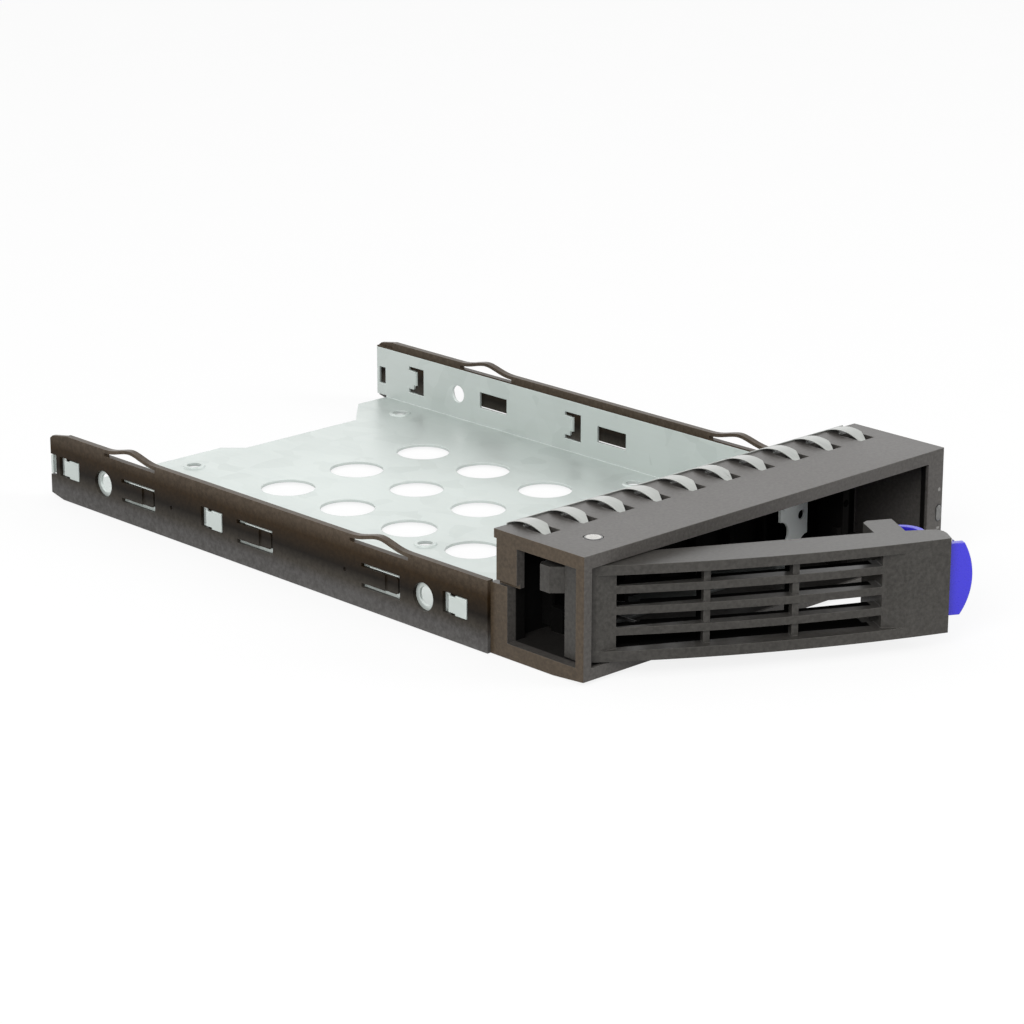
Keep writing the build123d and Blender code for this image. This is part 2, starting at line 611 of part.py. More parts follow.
with BuildPart() as release_button:
    # Neck and curved back
    with BuildSketch(lever_plane.offset(button_low)):
        with BuildLine():
            Polyline((end_u + 0.2, thumb_v), (neck_u, thumb_v), (neck_u, 2.4))
            ThreePointArc((neck_u, 2.4), (neck_u - 0.95, 5.2), (neck_u - 3.1, 6.15))
            Line((neck_u - 3.1, 6.15), (neck_u - 3.1, 6.15 + shell))
            ThreePointArc((neck_u - 3.1, 6.15 + shell), (neck_u - 0.1, 6.1),
                          (neck_u + shell, 2.4))
            Polyline((neck_u + shell, 2.4), (neck_u + shell, thumb_v + 1.4),
                     (end_u + 0.2, thumb_v + 1.4), (end_u + 0.2, thumb_v))
        make_face()
    extrude(amount=button_high - button_low)
    # D-shaped thumb tab, drawn in elevation
    with BuildSketch(Plane(origin=lever_plane.from_local_coords((end_u, thumb_v, 0)),
                           x_dir=lever_plane.x_dir, z_dir=-lever_plane.y_dir)):
        with BuildLine():
            Line((0.1, button_low), (2.85, button_low))
            ThreePointArc((2.85, button_low), (5.2, button_mid + 0.3), (3.4, button_high + 0.25))
            Line((3.4, button_high + 0.25), (0.3, button_high + 0.25))
            Line((0.3, button_high + 0.25), (0.1, button_high))
            Line((0.1, button_high), (0.1, button_low))
        make_face()
    extrude(amount=-1.4)
    with BuildSketch(Plane(origin=lever_plane.from_local_coords((end_u, thumb_v + 1.35, 0)),
                           x_dir=lever_plane.x_dir, z_dir=-lever_plane.y_dir)):
        with BuildLine():
            Line((2.3, button_low + 0.3), (2.3, button_high - 0.1))
            ThreePointArc((2.3, button_high - 0.1), (5.0, button_mid + 0.3), (2.3, button_low + 0.3))
        make_face()
    extrude(amount=-2.4)
    # Nose that catches behind the bezel's keeper, sloped so that it closes by itself
    with BuildSketch(lever_plane.offset(nose_low)):
        with BuildLine():
            Polyline((neck_u + shell - 0.1, 0.45), (neck_u + shell + 1.6, 0.45),
                     (neck_u + shell + 1.6, 0.9), (neck_u + shell - 0.1, 2.7), close=True)
        make_face()
    extrude(amount=keeper_high - 0.5 - nose_low)
    # Seat for the spring
    with BuildSketch(Plane(origin=lever_plane.from_local_coords((neck_u - 0.3, 1.4, 13.0)),
                           x_dir=(0, 0, 1), z_dir=lever_plane.x_dir)):
        Circle(2.2)
        Circle(1.6, mode=Mode.SUBTRACT)
    extrude(amount=0.4)
release_button.part.label = "release_button"
export_step(release_button.part, "parts/release_button.step")


# Hinge pin, its clip, the springs, the lens and the screws

pin_low = 0.35
groove_z = 0.6
clip_thick = 0.5

with BuildPart() as lever_pin:
    with Locations((pin_x, pin_y, pin_low)):
        Cylinder(pin_r, bezel_top - pin_low, align=(Align.CENTER, Align.CENTER, Align.MIN))
    with Locations((pin_x, pin_y, bezel_top - 0.78)):
        Cylinder(pin_head_r, 0.83, align=(Align.CENTER, Align.CENTER, Align.MIN))
    chamfer(lever_pin.edges().sort_by(Axis.Z)[-1], length=0.2)
    with Locations((pin_x, pin_y, groove_z)):
        Cylinder(pin_r + 1, clip_thick + 0.04, align=(Align.CENTER, Align.CENTER, Align.MIN),
                 mode=Mode.SUBTRACT)
        Cylinder(pin_r - 0.35, clip_thick + 0.04, align=(Align.CENTER, Align.CENTER, Align.MIN))
lever_pin.part.label = "lever_pin"
export_step(lever_pin.part, "parts/lever_pin.step")

with BuildPart() as pin_clip:
    with BuildSketch(Plane.XY.offset(groove_z + 0.02)):
        with Locations((pin_x, pin_y)):
            Circle(3.1)
            Circle(pin_r - 0.33, mode=Mode.SUBTRACT)
            with Locations((0, 2.4)):
                Rectangle(2.2, 4.8, mode=Mode.SUBTRACT)
    extrude(amount=clip_thick)
pin_clip.part.label = "pin_clip"
export_step(pin_clip.part, "parts/pin_clip.step")

wire_r = 0.35
coil_low = 5.4
coil_pitch = 1.0
coil_turns = 4

with BuildPart() as lever_spring:
    with BuildLine() as coil_line:
        Helix(pitch=coil_pitch, height=coil_pitch * coil_turns, radius=coil_r,
              center=(pin_x, pin_y, coil_low))
    with BuildSketch(Plane(origin=coil_line.line @ 0, z_dir=coil_line.line % 0)):
        RegularPolygon(wire_r, 6)
    sweep()
    # Straight ends: one rests on the bezel's rear ribs, one on the lever
    with Locations(Location((spring_x, pin_y, coil_low), (-90, 0, 0))):
        Cylinder(wire_r, 11.6, align=(Align.CENTER, Align.CENTER, Align.MIN))
    with Locations(Location((spring_x, pin_y, coil_low + coil_pitch * coil_turns), (90, 0, 12))):
        Cylinder(wire_r, 7.8, align=(Align.CENTER, Align.CENTER, Align.MIN))
lever_spring.part.label = "lever_spring"
export_step(lever_spring.part, "parts/lever_spring.step")

push_wire = 0.22
push_coil_r = 1.25
push_start = box_u[1] + 0.3
push_length = neck_u - 0.1 - push_wire - push_start

with BuildPart() as button_spring:
    push_origin = lever_plane.from_local_coords((push_start, 1.4, 13.0))
    with BuildLine() as push_line:
        Helix(pitch=push_length / 4, height=push_length, radius=push_coil_r, center=push_origin,
              direction=lever_plane.x_dir)
    with BuildSketch(Plane(origin=push_line.line @ 0, z_dir=push_line.line % 0)):
        RegularPolygon(push_wire, 6)
    sweep()
button_spring.part.label = "button_spring"
export_step(button_spring.part, "parts/button_spring.step")

with BuildPart() as status_lens:
    with BuildSketch(Plane.XZ.offset(0.15)):
        with Locations(lens_spot):
            SlotOverall(3.4 - 0.1, 1.5, rotation=90)
    extrude(amount=-24.4)
status_lens.part.label = "status_lens"
export_step(status_lens.part, "parts/status_lens.step")

with BuildPart() as bezel_screws:
    with Locations(*[(x, y, 0.05) for x, y in screw_spots]):
        Cylinder(screw_r, 4.4, align=(Align.CENTER, Align.CENTER, Align.MIN))
        Cone(2.35, screw_r, 1.1, align=(Align.CENTER, Align.CENTER, Align.MIN))
    with Locations(*[(x, y, 0.3) for x, y in screw_spots]):
        Box(2.4, 0.5, 0.6, mode=Mode.SUBTRACT)
        Box(0.5, 2.4, 0.6, mode=Mode.SUBTRACT)
bezel_screws.part.label = "bezel_screws"
export_step(bezel_screws.part, "parts/bezel_screws.step")
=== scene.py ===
import math
import bmesh
import bpy
from mathutils import Matrix, Vector


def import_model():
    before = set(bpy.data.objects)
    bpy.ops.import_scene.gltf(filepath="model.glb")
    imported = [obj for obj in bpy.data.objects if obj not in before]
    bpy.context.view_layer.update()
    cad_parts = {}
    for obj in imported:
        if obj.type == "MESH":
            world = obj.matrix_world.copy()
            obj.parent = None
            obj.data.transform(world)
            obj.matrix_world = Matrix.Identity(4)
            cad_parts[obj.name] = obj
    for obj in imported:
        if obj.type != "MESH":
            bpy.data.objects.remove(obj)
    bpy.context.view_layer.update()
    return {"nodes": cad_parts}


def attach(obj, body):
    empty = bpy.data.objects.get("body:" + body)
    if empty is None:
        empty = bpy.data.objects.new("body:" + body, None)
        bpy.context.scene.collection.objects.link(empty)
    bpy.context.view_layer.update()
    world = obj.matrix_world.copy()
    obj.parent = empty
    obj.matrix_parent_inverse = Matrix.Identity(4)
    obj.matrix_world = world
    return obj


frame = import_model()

nodes = frame["nodes"]
MM = 0.001
RAIL_TOP = 16                       # mm, the height that a rail's painted light and shade by height runs over
lever_open = math.radians(29.3)     # how far the lever stands open in the photo
hinge = (-0.0417, 0.0075, 0)        # the lever's hinge pin


# Materials

class Nodes:
    """Short names for building a material's node tree."""

    def __init__(self, name):
        self.material = bpy.data.materials.new(name)
        self.material.use_nodes = True
        self.tree = self.material.node_tree
        self.shader = self.tree.nodes["Principled BSDF"]
        self.coords = self.add("ShaderNodeTexCoord").outputs["Object"]

    def add(self, kind, **settings):
        """A new node with its settings."""
        node = self.tree.nodes.new(kind)
        for key, value in settings.items():
            setattr(node, key, value)
        return node

    def link(self, source, target):
        self.tree.links.new(source, target)

    def feed(self, socket, source):
        """Give a socket a number, a colour or the output of another node."""
        if isinstance(source, (int, float)):
            socket.default_value = source
        elif isinstance(source, tuple):
            socket.default_value = (*source, 1.0)
        else:
            self.link(source, socket)

    def set(self, **values):
        """Feed the shader's own sockets."""
        for key, value in values.items():
            self.feed(self.shader.inputs[key.replace("_", " ")], value)

    def scaled(self, scale):
        """Coordinates scaled by axis: a pattern is drawn out where the scale is small."""
        mapping = self.add("ShaderNodeMapping")
        mapping.inputs["Scale"].default_value = scale
        self.link(self.coords, mapping.inputs["Vector"])
        return mapping.outputs["Vector"]

    def noise(self, scale, detail=2.0, rough=0.5, vector=None):
        node = self.add("ShaderNodeTexNoise")
        node.inputs["Scale"].default_value = scale
        node.inputs["Detail"].default_value = detail
        node.inputs["Roughness"].default_value = rough
        self.link(vector or self.coords, node.inputs["Vector"])
        return node.outputs["Fac"]

    def cells(self, scale, vector=None):
        node = self.add("ShaderNodeTexVoronoi", feature="F1")
        node.inputs["Scale"].default_value = scale
        self.link(vector or self.coords, node.inputs["Vector"])
        return node

    def ramp(self, source, stops):
        """A colour for each value; stops is a list of (place, colour)."""
        node = self.add("ShaderNodeValToRGB")
        elements = node.color_ramp.elements
        while len(elements) < len(stops):
            elements.new(0.5)
        for element, (place, color) in zip(elements, stops):
            element.position = place
            element.color = (*color, 1.0)
        self.link(source, node.inputs["Fac"])
        return node.outputs["Color"]

    def range(self, source, low, high, to_low, to_high):
        """Values from low to high brought to the range from to_low to to_high."""
        node = self.add("ShaderNodeMapRange")
        limits = {"From Min": low, "From Max": high, "To Min": to_low, "To Max": to_high}
        for key, value in limits.items():
            node.inputs[key].default_value = value
        self.link(source, node.inputs["Value"])
        return node.outputs["Result"]

    def weaken(self, source, most):
        """A value from 0 to 1 brought down to 0 to most."""
        return self.range(source, 0.0, 1.0, 0.0, most)

    def product(self, a, b):
        node = self.add("ShaderNodeMath", operation="MULTIPLY")
        self.feed(node.inputs[0], a)
        self.feed(node.inputs[1], b)
        return node.outputs[0]

    def blend(self, factor, a, b, mode="MIX"):
        """Colour a turned towards colour b by the factor."""
        node = self.add("ShaderNodeMix", data_type="RGBA", blend_type=mode)
        colour_a, colour_b, colour_out = node.inputs[6], node.inputs[7], node.outputs[2]
        self.feed(node.inputs["Factor"], factor)
        self.feed(colour_a, a)
        self.feed(colour_b, b)
        return colour_out

    def place(self, axis, vector=None):
        """One coordinate of the shared frame, in metres."""
        parts = self.add("ShaderNodeSeparateXYZ")
        self.link(vector or self.coords, parts.inputs[0])
        return parts.outputs[axis]

    def along_lever(self):
        """Coordinates with X along the open lever, from its hinge pin."""
        mapping = self.add("ShaderNodeMapping")
        shift = Matrix.Rotation(lever_open, 3, "Z") @ Vector(hinge)
        mapping.inputs["Location"].default_value = -shift
        mapping.inputs["Rotation"].default_value = (0, 0, lever_open)
        self.link(self.coords, mapping.inputs["Vector"])
        return mapping.outputs["Vector"]

    def inside(self, *spans, vector=None):
        """1 inside a box given as (axis, low, high) in mm, 0 outside it, with soft sides."""
        factor = None
        soft = 0.15 * MM
        for axis, low, high in spans:
            value = self.place(axis, vector)
            rise = self.range(value, low * MM - soft, low * MM + soft, 0.0, 1.0)
            fall = self.range(value, high * MM - soft, high * MM + soft, 1.0, 0.0)
            for side in (rise, fall):
                factor = side if factor is None else self.product(factor, side)
        return factor

    def edges(self, radius):
        """0 on flat ground, towards 1 along the sharp edges of the shape."""
        bevel = self.add("ShaderNodeBevel", samples=4)
        bevel.inputs["Radius"].default_value = radius
        flat = self.add("ShaderNodeNewGeometry").outputs["Normal"]
        dot = self.add("ShaderNodeVectorMath", operation="DOT_PRODUCT")
        self.link(bevel.outputs["Normal"], dot.inputs[0])
        self.link(flat, dot.inputs[1])
        return self.range(dot.outputs["Value"], 0.995, 0.80, 0.0, 1.0), bevel.outputs["Normal"]

    def bump(self, heights, normal=None):
        """heights is a list of (height output, strength, distance)."""
        for height, strength, distance in heights:
            node = self.add("ShaderNodeBump")
            node.inputs["Strength"].default_value = strength
            node.inputs["Distance"].default_value = distance
            self.link(height, node.inputs["Height"])
            if normal is not None:
                self.link(normal, node.inputs["Normal"])
            normal = node.outputs["Normal"]
        self.link(normal, self.shader.inputs["Normal"])


def sheet_metal(name, light, dark, warm, metallic, painted_light_box, painted_shade_box,
                rough=(0.30, 0.46), edge=0.25):
    """Zinc-coated sheet: soft crystals, rolling streaks, faint scuffs.

    painted_light_box gets a painted highlight and painted_shade_box painted shade; both are boxes
    in mm.
    """
    crystal_scale, warp = 190, 0.006
    rolled = (14, 0.7, 14)      # streaks lie along the sheet
    scuffed = (1, 0.06, 1)
    m = Nodes(name)
    warped = m.add("ShaderNodeVectorMath", operation="ADD")
    drift = m.add("ShaderNodeTexNoise")
    drift.inputs["Scale"].default_value = 90
    m.link(m.coords, drift.inputs["Vector"])
    small = m.add("ShaderNodeVectorMath", operation="SCALE")
    small.inputs["Scale"].default_value = warp
    m.link(drift.outputs["Color"], small.inputs[0])
    m.link(m.coords, warped.inputs[0])
    m.link(small.outputs["Vector"], warped.inputs[1])
    crystal = m.cells(crystal_scale, vector=warped.outputs["Vector"]).outputs["Color"]
    facet = m.ramp(crystal, [(0.0, dark), (0.5, light), (1.0, light)])
    streak = m.noise(60, 5, 0.6, m.scaled(rolled))
    streaks = m.ramp(streak, [(0.30, warm), (0.62, light)])
    cloud = m.noise(14, 3, 0.5)
    mixed = m.blend(0.35, facet, streaks)
    shade = m.range(cloud, 0.3, 0.7, 0.90, 1.04)
    tone = m.add("ShaderNodeVectorMath", operation="SCALE")
    m.link(mixed, tone.inputs[0])
    m.link(shade, tone.inputs["Scale"])
    # paler edges: partly wear, partly painted highlight
    edge_wear_and_highlight, soft = m.edges(edge * MM)
    bright = tuple(min(1.0, c * 1.25) for c in light)
    edged = m.blend(edge_wear_and_highlight, tone.outputs["Vector"], bright)
    # painted shade: the tongue under the bezel is painted near black
    edged = m.blend(m.weaken(m.inside(*painted_shade_box), 0.93), edged, (0.01, 0.01, 0.01))
    # painted highlight: the upright tab on it is painted near white and made less metallic
    painted_light_mask = m.inside(*painted_light_box)
    edged = m.blend(m.weaken(painted_light_mask, 0.9), edged, (0.95, 0.99, 0.96))
    m.set(Base_Color=edged,
          Metallic=m.range(painted_light_mask, 0.0, 1.0, metallic, 0.05),
          Roughness=m.range(streak, 0.25, 0.75, *rough))
    scuffs = m.noise(900, 2, 0.5, m.scaled(scuffed))
    m.bump([(scuffs, 0.10, 0.02 * MM), (crystal, 0.05, 0.01 * MM)], soft)
    return m.material


def moulded(name, base, light, grain, depth, rough, edge, spec=0.2,
            painted_levels=None, dark=None, turned=False, painted_warm_left=False):
    """Moulded plastic: fine spark-eroded grain, slow flow marks, paler edges that are partly wear
    and partly painted highlight.

    levels paints light and shade on it by height, dark is the box of its inside that gets painted
    shade, which turned says is in the lever's directions, and painted_warm_left paints brown
    shading on its left-hand faces.
    """
    m = Nodes(name)
    fine = m.noise(grain, 3, 0.65)
    pits = m.cells(grain * 0.9).outputs["Distance"]
    flow = m.noise(30, 4, 0.55, m.scaled((1.0, 0.35, 1.4)))
    dust = m.noise(420, 6, 0.8)
    tone = m.ramp(flow, [(0.30, base), (0.72, light)])
    speck = m.range(dust, 0.70, 0.80, 0.0, 0.35)
    paler = tuple(min(1.0, c * 2.2 + 0.01) for c in light)
    colour = m.blend(speck, tone, paler)
    grainy = m.blend(m.range(fine, 0.35, 0.70, 0.0, 0.30), colour, paler)
    # paler edges: partly wear, partly painted highlight
    edge_wear_and_highlight, soft = m.edges(edge * MM)
    edge_tone = tuple(min(1.0, c * 2.6 + 0.015) for c in light)
    tone = m.blend(m.weaken(edge_wear_and_highlight, 0.55), grainy, edge_tone)
    if painted_warm_left:
        # painted brown shading on the left-hand faces
        facing = m.place("X", m.add("ShaderNodeNewGeometry").outputs["Normal"])
        painted_brown_shade = m.product(m.range(facing, -0.5, -0.9, 0.0, 1.0), m.inside(left_end))
        tone = m.blend(painted_brown_shade, tone, (0.92, 0.72, 0.50), "MULTIPLY")
    if painted_levels:
        # painted light and shade by height: paler towards the table, darkest halfway up
        height = m.range(m.place("Z"), 0.0, RAIL_TOP * MM, 0.0, 1.0)
        tone = m.blend(1.0, tone, m.ramp(height, painted_levels), "MULTIPLY")
    # painted shade: the unlit inside is painted near black, without specular
    if dark:
        shade = m.inside(*dark, vector=m.along_lever() if turned else None)
        tone = m.blend(m.weaken(shade, 0.95), tone, (0.002, 0.002, 0.002))
        spec = m.range(shade, 0.0, 1.0, spec, 0.0)
    m.set(Base_Color=tone,
          Specular_IOR_Level=spec,
          Roughness=m.range(flow, 0.25, 0.75, *rough),
          IOR=1.47)
    m.bump([(fine, 0.35, depth * MM), (pits, 0.20, depth * 0.6 * MM)], soft)
    return m.material


def blue_plastic(name):
    """Glossy dyed plastic of the release button."""
    m = Nodes(name)
    cloud = m.noise(45, 3, 0.5)
    fine = m.noise(1800, 2, 0.5)
    tone = m.ramp(cloud, [(0.30, (0.025, 0.019, 0.44)), (0.70, (0.034, 0.026, 0.53))])
    # paler edges: partly wear, partly painted highlight
    edge_wear_and_highlight, soft = m.edges(0.35 * MM)
    edged = m.blend(m.weaken(edge_wear_and_highlight, 0.5), tone, (0.12, 0.11, 0.75))
    m.set(Base_Color=edged, Roughness=m.range(fine, 0.3, 0.7, 0.26, 0.34), IOR=1.49)
    m.bump([(fine, 0.05, 0.01 * MM), (cloud, 0.10, 0.10 * MM)], soft)
    return m.material


def spring_steel(name, tint):
    """Drawn or rolled spring stock with fine lengthwise lines."""
    m = Nodes(name)
    drawn = (1.0, 0.12, 1.0)
    lines = m.noise(700, 4, 0.6, m.scaled(drawn))
    cloud = m.noise(60, 3, 0.5)
    dark = tuple(c * 0.72 for c in tint)
    tone = m.ramp(lines, [(0.28, dark), (0.66, tint)])
    tint_low = tuple(c * 0.86 for c in tint)
    mixed = m.blend(m.range(cloud, 0.3, 0.7, 0.0, 0.5), tone, tint_low)
    # paler edges: partly wear, partly painted highlight
    edge_wear_and_highlight, soft = m.edges(0.12 * MM)
    edge_tone = tuple(min(0.9, c * 1.7) for c in tint)
    m.set(Base_Color=m.blend(m.weaken(edge_wear_and_highlight, 0.6), mixed, edge_tone),
          Roughness=m.range(lines, 0.25, 0.75, 0.26, 0.42),
          Metallic=0.8)
    m.bump([(lines, 0.25, 0.01 * MM)], soft)
    return m.material


def turned_steel(name):
    """Cold-headed bright steel with fine turning marks and small dents."""
    rim_from, rim_to = 1.46, 1.52       # mm from the pin's axis
    m = Nodes(name)
    rings = m.noise(2200, 2, 0.5, m.scaled((1, 1, 0.2)))
    dents = m.noise(800, 4, 0.7)
    tone = m.ramp(rings, [(0.3, (0.27, 0.265, 0.25)), (0.7, (0.40, 0.39, 0.37))])
    # paler edges: partly wear, partly painted highlight
    edge_wear_and_highlight, soft = m.edges(0.15 * MM)
    bright = m.blend(m.weaken(edge_wear_and_highlight, 0.6), tone, (0.60, 0.60, 0.58))
    # painted shade: the rim of the head is painted dark, so that the head looks smaller inside a
    # shaded counterbore
    reach = m.add("ShaderNodeVectorMath", operation="DISTANCE")
    flat = m.add("ShaderNodeVectorMath", operation="MULTIPLY")
    m.link(m.coords, flat.inputs[0])
    flat.inputs[1].default_value = (1, 1, 0)
    m.link(flat.outputs["Vector"], reach.inputs[0])
    reach.inputs[1].default_value = hinge
    rim = m.range(reach.outputs["Value"], rim_from * MM, rim_to * MM, 0.0, 1.0)
    m.set(Base_Color=m.blend(rim, bright, (0.03, 0.03, 0.03)),
          Metallic=m.range(rim, 0.0, 1.0, 0.9, 0.2),
          Roughness=m.range(dents, 0.3, 0.7, 0.18, 0.34))
    m.bump([(dents, 0.20, 0.03 * MM)], soft)
    return m.material


def clear_lens(name):
    """Slightly milky light guide."""
    m = Nodes(name)
    haze = m.noise(500, 3, 0.6)
    milky = m.ramp(haze, [(0.3, (0.15, 0.15, 0.145)), (0.7, (0.26, 0.26, 0.25))])
    m.set(Base_Color=milky,
          Roughness=m.range(haze, 0.3, 0.7, 0.12, 0.24),
          IOR=1.49,
          Transmission_Weight=0.45)
    edge_wear_and_highlight, soft = m.edges(0.2 * MM)
    m.bump([(haze, 0.1, 0.02 * MM)], soft)
    return m.material


def print_ink(name, tint):
    """Pad-printed paint of the small generic marks."""
    m = Nodes(name)
    wear = m.noise(1600, 3, 0.6)
    low = tuple(c * 0.7 for c in tint)
    m.set(Base_Color=m.ramp(wear, [(0.3, low), (0.7, tint)]),
          Roughness=m.range(wear, 0.3, 0.7, 0.45, 0.6))
    return m.material


# Boxes in mm where some materials get painted shade, a painted highlight or painted brown shading
left_end = ("X", -53.0, -46.0)
painted_light_tab_box = (("Y", 15.0, 18.0), ("Z", 4.0, 16.0))
painted_shade_under_bezel = (("Y", 12.0, 25.8), ("Z", 1.5, 4.4))
bezel_painted_shade_box = (("X", -49.3, 48.4), ("Y", 0.7, 23.0), ("Z", 2.9, 22.7))
lever_painted_shade_box = (("X", -1.5, 53.0), ("Y", -7.0, 12.0), ("Z", 4.4, 21.3))

# Painted light and shade on a rail from its foot to its top: grey, dark, brown
rail_painted_levels = [
    (0.0, (1.3, 1.55, 1.95)),
    (0.16, (1.1, 1.3, 1.65)),
    (0.30, (0.6, 0.65, 0.7)),
    (0.46, (0.12, 0.11, 0.10)),
    (0.70, (0.36, 0.26, 0.14)),
    (0.9, (1.0, 0.95, 0.9)),
]

zinc = sheet_metal(
    "galvanised sheet", (0.50, 0.545, 0.525), (0.425, 0.47, 0.45), (0.46, 0.50, 0.47),
    metallic=0.34, painted_light_box=painted_light_tab_box, painted_shade_box=painted_shade_under_bezel,
)
rail_black = moulded(
    "rail plastic", (0.040, 0.032, 0.024), (0.062, 0.050, 0.038),
    grain=1100, depth=0.012, rough=(0.30, 0.40), edge=0.14, spec=0.07, painted_levels=rail_painted_levels,
)
bezel_black = moulded(
    "bezel plastic", (0.037, 0.034, 0.031), (0.058, 0.054, 0.050),
    grain=1500, depth=0.030, rough=(0.36, 0.46), edge=0.20, spec=0.25,
    dark=bezel_painted_shade_box, painted_warm_left=True,
)
lever_black = moulded(
    "lever plastic", (0.026, 0.0245, 0.022), (0.040, 0.0375, 0.034),
    grain=1300, depth=0.020, rough=(0.26, 0.36), edge=0.20, spec=0.2,
    dark=lever_painted_shade_box, turned=True,
)
blue = blue_plastic("button plastic")
finger = spring_steel("finger steel", (0.32, 0.33, 0.315))
coil = spring_steel("coil steel", (0.13, 0.13, 0.128))
pin_steel = turned_steel("pin steel")
lens = clear_lens("lens")
screw_black = moulded(
    "blackened screw", (0.022, 0.022, 0.023), (0.04, 0.04, 0.041),
    grain=2200, depth=0.008, rough=(0.28, 0.40), edge=0.10,
)
ink = print_ink("mark paint", (0.20, 0.195, 0.185))
rim_black = print_ink("lens rim", (0.008, 0.008, 0.008))

finish_of = {
    "tray": zinc,
    "left_rail": rail_black,
    "right_rail": rail_black,
    "bezel": bezel_black,
    "lever": lever_black,
    "emi_gasket": finger,
    "lever_pin": pin_steel,
    "pin_clip": coil,
    "lever_spring": coil,
    "button_spring": coil,
    "release_button": blue,
    "status_lens": lens,
    "bezel_screws": screw_black,
}
for name, material in finish_of.items():
    piece = nodes[name]
    piece.data.materials.clear()
    piece.data.materials.append(material)


# Small added pieces

def add_piece(name, build, material):
    """Turn a built mesh into a piece of the cage."""
    bmesh.ops.recalc_face_normals(build, faces=build.faces)
    mesh = bpy.data.meshes.new(name)
    build.to_mesh(mesh)
    build.free()
    mesh.materials.append(material)
    piece = bpy.data.objects.new(name, mesh)
    bpy.context.scene.collection.objects.link(piece)
    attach(piece, "cage")


def add_prism(build, outline, push):
    """A solid with a convex outline, pushed along a vector; all in mm."""
    low = [build.verts.new(point * MM) for point in outline]
    high = [build.verts.new((point + Vector(push)) * MM) for point in outline]
    build.faces.new(low[::-1])
    build.faces.new(high)
    for i in range(len(outline)):
        after = (i + 1) % len(outline)
        build.faces.new((low[i], low[after], high[after], high[i]))


def circle(middle, radius, sides, across, along):
    """Points round a circle; across and along are its two directions."""
    points = []
    for i in range(sides):
        angle = 2 * math.pi * i / sides
        arm = math.cos(angle) * Vector(across) + math.sin(angle) * Vector(along)
        points.append(Vector(middle) + radius * arm)
    return points


def oval(middle, radius, straight, sides):
    """Points round an upright oval on the bezel's front, with straight sides."""
    points = []
    for i in range(sides):
        angle = 2 * math.pi * (i + 0.5) / sides
        lift = math.copysign(straight / 2, math.sin(angle))
        arm = Vector((radius * math.cos(angle), 0, lift + radius * math.sin(angle)))
        points.append(Vector(middle) + arm)
    return points


right_dir, back_dir, up_dir = (1, 0, 0), (0, 1, 0), (0, 0, 1)

# All in mm
finger_count, finger_pitch = 10, 10.0
nib_left = 1.2          # a nib stands this far to the left of its finger's middle
nib_y, nib_z = 21.4, 25.18
nib_r, nib_high, nib_sides = 0.34, 0.17, 14
column_x = 50.35        # middle of the lens and of the marks on the right column
lens_z = 11.6
lens_r = 0.75
lens_straight = 1.8
rim_wide = 0.2
rim_front, rim_back = -0.05, 0.02
rim_sides = 28
disc_z = lens_z + 5.0
disc_r, disc_sides = 0.40, 20
bar_low, bar_high = 8.15, 8.65
bar_half = 0.45
proud = -0.03           # the marks stand this far out of the front plane
ink_deep = (0, 0.05, 0)

# Bright nibs, one beside each grounding finger
build = bmesh.new()
for i in range(finger_count):
    spot = finger_pitch * (i - (finger_count - 1) / 2) - nib_left
    nib = circle((spot, nib_y, nib_z), nib_r, nib_sides, right_dir, back_dir)
    add_prism(build, nib, (0, 0, nib_high))
add_piece("finger_nibs", build, finger)

# Two plain printed marks above and below the lens: a disc and a bar
build = bmesh.new()
disc = circle((column_x, proud, disc_z), disc_r, disc_sides, right_dir, up_dir)
add_prism(build, disc, ink_deep)
bar = []
for side, z in ((-1, bar_low), (1, bar_low), (1, bar_high), (-1, bar_high)):
    bar.append(Vector((column_x + side * bar_half, proud, z)))
add_prism(build, bar, ink_deep)
add_piece("column_marks", build, ink)

# Dark rim round the lens: a closed band
build = bmesh.new()
loops = []
for grow, depth in ((0.0, rim_front), (rim_wide, rim_front), (rim_wide, rim_back), (0.0, rim_back)):
    points = oval((column_x, depth, lens_z), lens_r + grow, lens_straight, rim_sides)
    loops.append([build.verts.new(point * MM) for point in points])
for k, loop in enumerate(loops):
    next_loop = loops[(k + 1) % len(loops)]
    for i in range(rim_sides):
        after = (i + 1) % rim_sides
        build.faces.new((loop[i], loop[after], next_loop[after], next_loop[i]))
add_piece("lens_rim", build, rim_black)


# Stage, lamps and camera

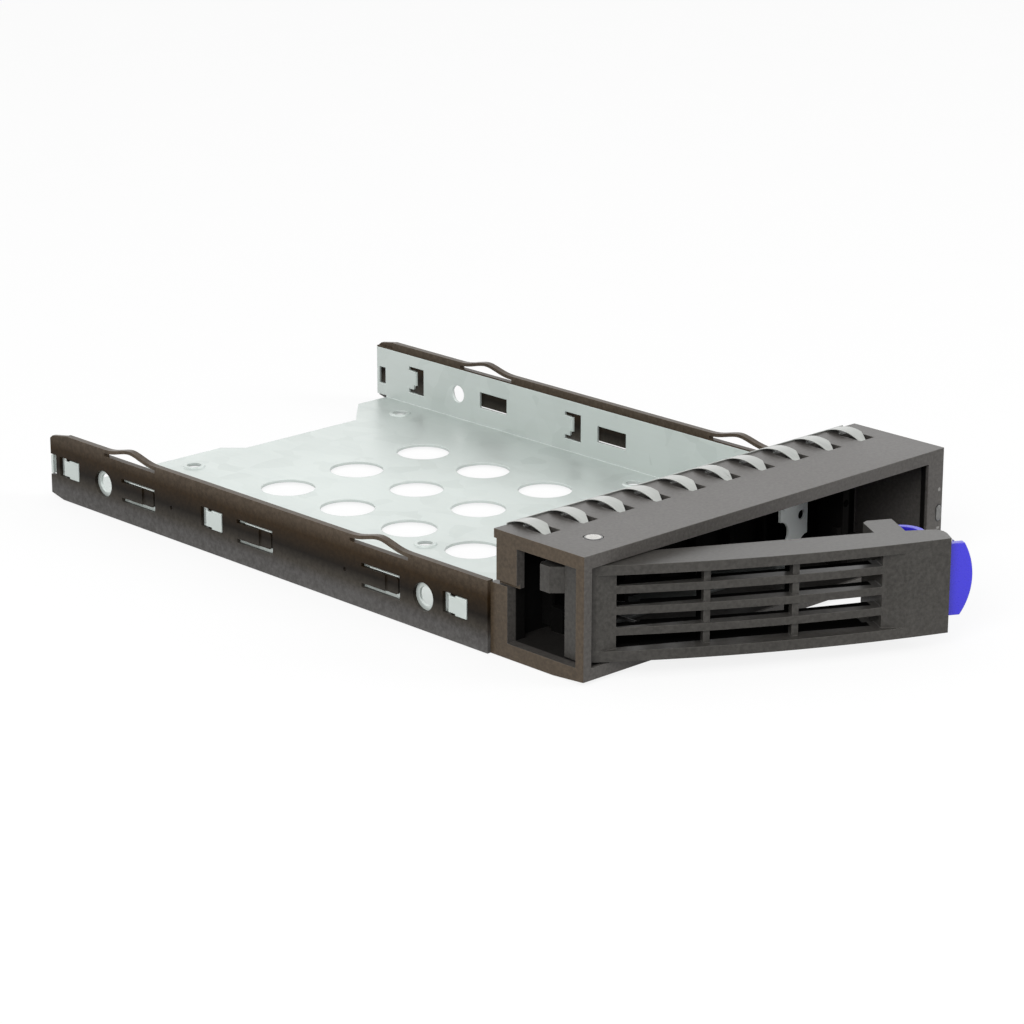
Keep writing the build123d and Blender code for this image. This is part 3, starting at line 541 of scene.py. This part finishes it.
def backdrop():
    """A white table that also glows, so that it stays pale beside the part's shadow."""
    own_light = 0.85    # how much of the table's light is its own, as the camera sees it
    reach = 6.0
    mesh = bpy.data.meshes.new("floor")
    corners = [(-reach, -reach, 0), (reach, -reach, 0), (reach, reach, 0), (-reach, reach, 0)]
    mesh.from_pydata(corners, [], [(0, 1, 2, 3)])
    floor = bpy.data.objects.new("floor", mesh)
    bpy.context.scene.collection.objects.link(floor)
    floor.location.z = -0.0002
    m = Nodes("floor paper")
    speck = m.noise(40, 3, 0.5)
    paper = m.ramp(speck, [(0.0, (0.86, 0.86, 0.86)), (1.0, (0.90, 0.90, 0.90))])
    m.set(Base_Color=paper, Roughness=0.9, Specular_IOR_Level=0.1)
    path = m.add("ShaderNodeLightPath")
    seen = m.add("ShaderNodeMath", operation="MAXIMUM")
    m.link(path.outputs["Is Camera Ray"], seen.inputs[0])
    m.link(path.outputs["Is Glossy Ray"], seen.inputs[1])
    share = m.product(seen.outputs[0], own_light)
    glow = m.add("ShaderNodeEmission")
    glow.inputs["Color"].default_value = (1, 1, 1, 1)
    glow.inputs["Strength"].default_value = 1.0
    mix = m.add("ShaderNodeMixShader")
    m.link(share, mix.inputs["Fac"])
    m.link(m.shader.outputs[0], mix.inputs[1])
    m.link(glow.outputs[0], mix.inputs[2])
    out = m.tree.nodes["Material Output"]
    m.link(mix.outputs[0], out.inputs["Surface"])
    mesh.materials.append(m.material)


def lamp(name, at, aim, size, power, mirrored=True):
    """An oblong lamp; mirrored says whether shiny faces show it."""
    data = bpy.data.lights.new(name, "AREA")
    data.shape = "RECTANGLE"
    data.size, data.size_y = size
    data.energy = power
    light = bpy.data.objects.new(name, data)
    light.location = at
    light.visible_glossy = mirrored
    light.rotation_euler = (Vector(aim) - Vector(at)).to_track_quat("-Z", "Y").to_euler()
    bpy.context.scene.collection.objects.link(light)


def world():
    """White surroundings: dim as a light, white to look at, brightest in reflections."""
    lit, looked_at, mirrored = 0.55, 1.0, 1.15
    studio = bpy.data.worlds.new("studio")
    studio.use_nodes = True
    tree = studio.node_tree
    back = tree.nodes["Background"]
    back.inputs["Color"].default_value = (1, 1, 1, 1)
    path = tree.nodes.new("ShaderNodeLightPath")
    high = tree.nodes.new("ShaderNodeMath")
    high.operation = "MAXIMUM"
    tree.links.new(path.outputs["Is Camera Ray"], high.inputs[0])
    tree.links.new(path.outputs["Is Transmission Ray"], high.inputs[1])
    level = tree.nodes.new("ShaderNodeMapRange")
    level.inputs["To Min"].default_value = lit
    level.inputs["To Max"].default_value = looked_at
    tree.links.new(high.outputs[0], level.inputs["Value"])
    gloss = tree.nodes.new("ShaderNodeMapRange")
    gloss.inputs["To Max"].default_value = mirrored
    tree.links.new(path.outputs["Is Glossy Ray"], gloss.inputs["Value"])
    total = tree.nodes.new("ShaderNodeMath")
    tree.links.new(level.outputs["Result"], total.inputs[0])
    tree.links.new(gloss.outputs["Result"], total.inputs[1])
    tree.links.new(total.outputs[0], back.inputs["Strength"])
    bpy.context.scene.world = studio


def camera():
    """The photo's camera: its place in mm, its directions and its focal length in pixels."""
    place = Vector((-482.7, -432.4, 228.55))
    azimuth, height, roll = math.radians(43.669), math.radians(17.678), math.radians(-0.113)
    focal, picture = 3500.464, 1024
    forward = Vector((math.sin(azimuth) * math.cos(height),
                      math.cos(azimuth) * math.cos(height),
                      -math.sin(height)))
    right = Vector((math.cos(azimuth), -math.sin(azimuth), 0))
    up = right.cross(forward)
    turn = Matrix.Rotation(roll, 3, forward)
    right, up = turn @ right, turn @ up
    data = bpy.data.cameras.new("camera")
    data.sensor_width = 36
    data.lens = focal / picture * data.sensor_width
    data.clip_start, data.clip_end = 0.01, 50
    cam = bpy.data.objects.new("camera", data)
    pose = Matrix((right, up, -forward)).transposed().to_4x4()
    pose.translation = place * MM
    cam.matrix_world = pose
    bpy.context.scene.collection.objects.link(cam)
    bpy.context.scene.camera = cam


backdrop()
world()
lamp("top", at=(0.05, 0.35, 1.1), aim=(0, 0.05, 0), size=(1.2, 1.0), power=2)
lamp("front left", at=(-1.0, -0.5, 0.7), aim=(0, 0.05, 0), size=(0.8, 0.6), power=13,
     mirrored=False)
lamp("front right", at=(0.8, -0.9, 0.6), aim=(0, 0, 0), size=(0.6, 0.6), power=7,
     mirrored=False)
camera()
bpy.context.scene.view_settings.view_transform = "Standard"
